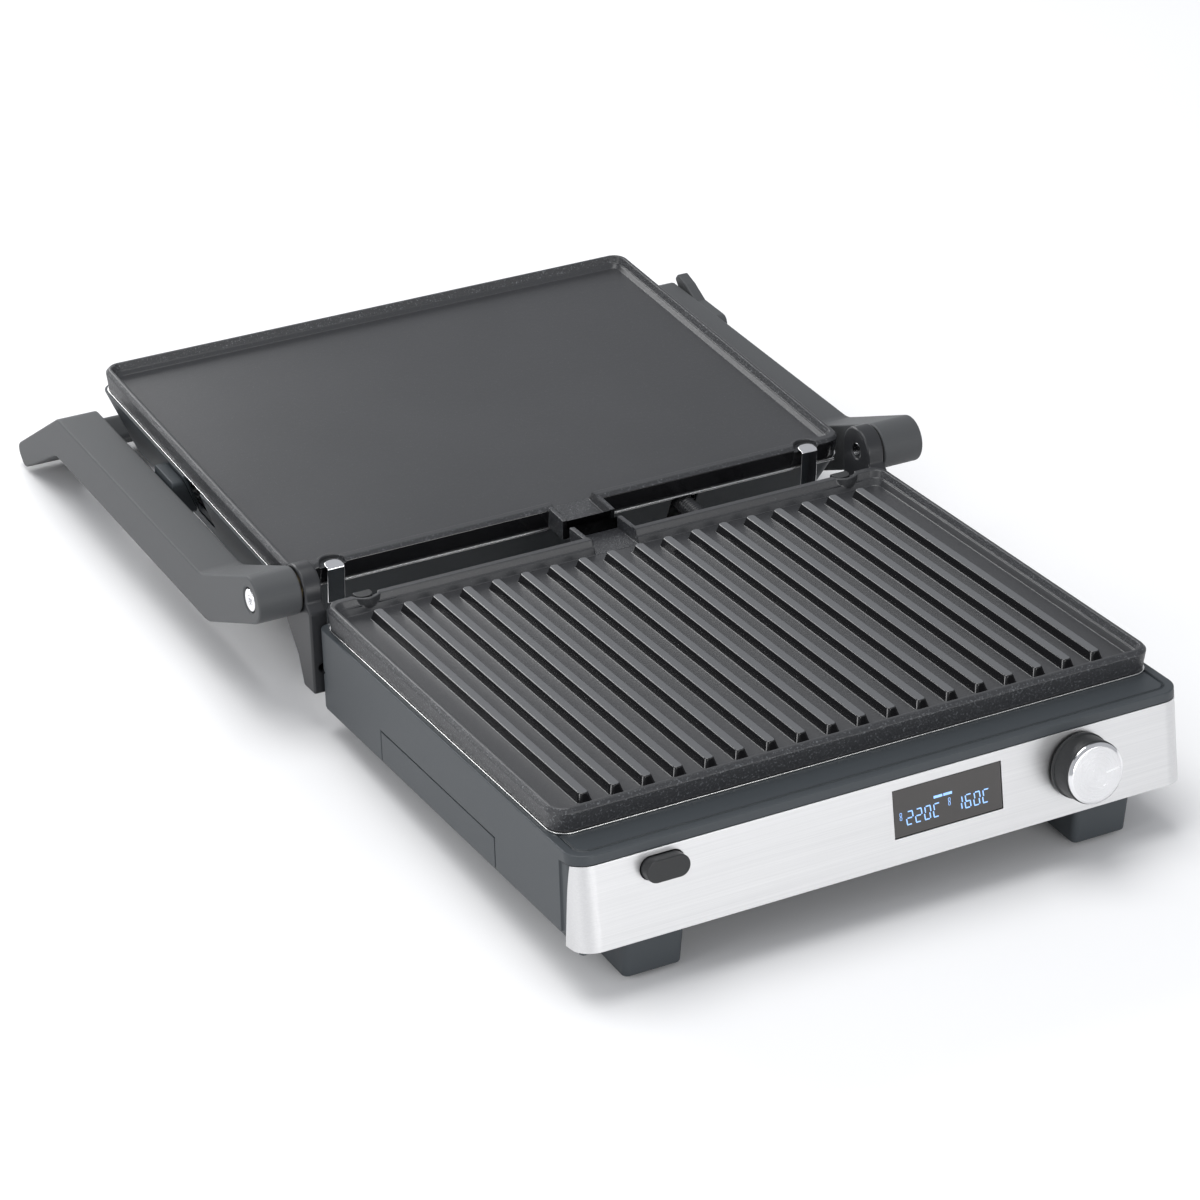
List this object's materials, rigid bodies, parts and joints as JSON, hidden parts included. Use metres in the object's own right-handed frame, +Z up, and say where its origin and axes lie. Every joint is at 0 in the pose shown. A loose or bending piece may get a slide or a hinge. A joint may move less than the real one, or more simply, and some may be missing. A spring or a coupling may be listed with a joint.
{
  "type": "contact grill",
  "caption": "Electric contact grill opened flat: ribbed lower plate, flat upper plate on hinged arms with a handle, brushed steel fascia with knob and display.",
  "frame": {"origin": "centre of the footprint of the open grill, on the table", "axes": "+X to the right seen from the control panel, +Y from the control panel to the handle, +Z up"},
  "size_m": [0.364, 0.5958, 0.0795],
  "materials": {
    "nonstick": "cast aluminium with a fine-grained dark non-stick coating",
    "brushed_steel": "horizontally brushed stainless steel",
    "slate_plastic": "satin slate-grey moulded plastic",
    "arm_plastic": "soft matte dark grey",
    "black_plastic": "fine satin black",
    "bright_sheet": "plain bright sheet",
    "element_steel": "heat-tinted tube",
    "chrome": "polished",
    "spun_aluminium": "radially brushed",
    "window_glass": "dark tinted window",
    "rubber": "matt rubber",
    "circuit": "green circuit board",
    "brass": "plain",
    "spring_steel": "bright sprung steel"
  },
  "bodies": {
    "base": {"lower_grill_plate": "nonstick", "lower_reflector_pan": "bright_sheet", "lower_heating_element": "element_steel", "lower_temperature_sensor": "black_plastic", "lower_plate_clips": "chrome", "base_housing": "slate_plastic", "base_bottom_cover": "slate_plastic", "front_panel": "brushed_steel", "display_window": "window_glass", "display_module": "circuit", "encoder_body": "spring_steel", "lower_release_spring": "spring_steel", "lower_release_guide": "black_plastic", "control_board": "circuit", "terminal_block": "black_plastic", "mains_lead_gland": "black_plastic", "drain_chute": "black_plastic", "front_feet": "slate_plastic", "front_foot_pads": "rubber", "rear_feet": "slate_plastic", "rear_foot_pads": "rubber", "left_hinge_bracket": "slate_plastic", "right_hinge_bracket": "slate_plastic", "hinge_bolts": "chrome", "hinge_washers": "brass", "bottom_screws": "spring_steel", "conduit_collar": "black_plastic", "cable_conduit": "black_plastic"},
    "arms": {"left_arm": "arm_plastic", "right_arm": "arm_plastic", "handle_bar": "arm_plastic", "handle_screws": "spring_steel", "lever_pin": "spring_steel"},
    "lid": {"upper_griddle_plate": "nonstick", "upper_reflector_pan": "bright_sheet", "upper_heating_element": "element_steel", "upper_temperature_sensor": "black_plastic", "upper_plate_clips": "chrome", "lid_housing": "slate_plastic", "lid_cover": "brushed_steel", "lid_pivot_bosses": "slate_plastic", "lid_pivot_pins": "spring_steel", "upper_release_guide": "black_plastic", "upper_release_spring": "spring_steel"},
    "drip_tray": {"drip_tray": "slate_plastic"},
    "knob_plunger": {"encoder_plunger": "spring_steel"},
    "knob": {"knob_shaft": "spring_steel", "knob_skirt": "black_plastic", "knob_cap": "spun_aluminium"},
    "release_button": {"lower_release_button": "black_plastic"},
    "lid_release_button": {"upper_release_button": "black_plastic"},
    "release_lever": {"release_lever": "arm_plastic"}
  },
  "joints": [
    {"name": "lid_swing", "type": "hinge", "parent": "base", "child": "arms", "pos_m": [-0.004, -0.00565, 0.06619], "axis": [1, 0, 0], "range_deg": [0, 173.5], "deforming": ["cable_conduit"]},
    {"name": "lid_float", "type": "hinge", "parent": "arms", "child": "lid", "pos_m": [-0.004, 0.15026, 0.04215], "axis": [1, 0, 0], "range_deg": [0, 4]},
    {"name": "tray_slide", "type": "slide", "parent": "base", "child": "drip_tray", "axis": [-1, 0, 0], "range_m": [0, 0.205]},
    {"name": "knob_press", "type": "slide", "parent": "base", "child": "knob_plunger", "axis": [0, 0.9829, -0.184], "range_m": [0, 0.0012], "stiffness_N_per_m": 1500, "springref_m": -0.001},
    {"name": "knob_turn", "type": "hinge", "parent": "knob_plunger", "child": "knob", "pos_m": [0.091, -0.28518, 0.04892], "axis": [0, -0.9829, 0.184], "continuous": true},
    {"name": "plate_release", "type": "slide", "parent": "base", "child": "release_button", "axis": [0, 0.9829, -0.184], "range_m": [0, 0.0035], "stiffness_N_per_m": 800, "springref_m": -0.002, "deforming": ["lower_release_spring"]},
    {"name": "lid_plate_release", "type": "slide", "parent": "lid", "child": "lid_release_button", "axis": [0, -0.9995, -0.0304], "range_m": [0, 0.0035], "stiffness_N_per_m": 800, "springref_m": -0.002, "deforming": ["upper_release_spring"]},
    {"name": "lever_press", "type": "hinge", "parent": "arms", "child": "release_lever", "pos_m": [0.174, 0.19743, 0.04446], "axis": [-1, 0, 0], "range_deg": [0, 18], "stiffness_Nm_per_rad": 0.3, "springref_deg": -8.59}
  ]
}
